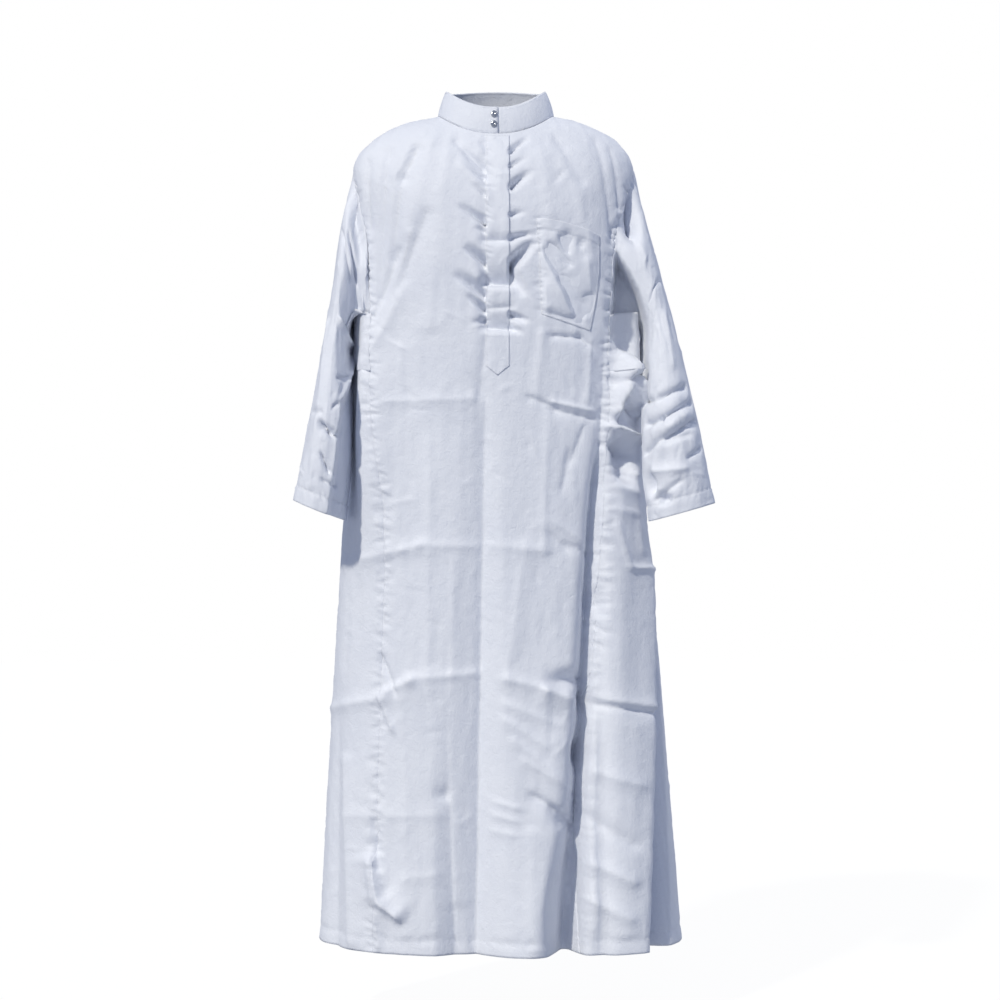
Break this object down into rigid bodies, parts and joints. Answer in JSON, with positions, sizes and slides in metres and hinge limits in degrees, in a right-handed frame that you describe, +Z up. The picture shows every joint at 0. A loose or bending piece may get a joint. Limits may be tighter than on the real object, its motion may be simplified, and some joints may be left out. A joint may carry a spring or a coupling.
{
  "type": "thobe robe",
  "caption": "Long white thobe robe as worn: stand collar with press studs, hidden placket with pointed tab, chest pocket, flared side gores, underarm gussets and long sleeves.",
  "frame": {"origin": "middle of the neck, level with the high points of the shoulders, which carry the robe on its wearer", "axes": "+Z up along the robe's length, -Y the way its front faces, +X towards the wearer's left"},
  "size_m": [0.712, 0.3342, 1.4826],
  "materials": {
    "robe_cloth": "fine plain-weave polyester and cotton, cool white, smooth with a slight sheen",
    "stud_metal": "bright nickel-plated domed press stud"
  },
  "bodies": {
    "root": {"front_panel": "robe_cloth", "back_panel": "robe_cloth", "front_gore_left": "robe_cloth", "front_gore_right": "robe_cloth", "back_gore_left": "robe_cloth", "back_gore_right": "robe_cloth", "sleeve_left": "robe_cloth", "sleeve_right": "robe_cloth", "gusset_left": "robe_cloth", "gusset_right": "robe_cloth", "collar_band": "robe_cloth", "placket": "robe_cloth", "chest_pocket": "robe_cloth", "side_pocket_bag": "robe_cloth", "collar_stud_upper": "stud_metal", "collar_stud_lower": "stud_metal"}
  },
  "joints": []
}
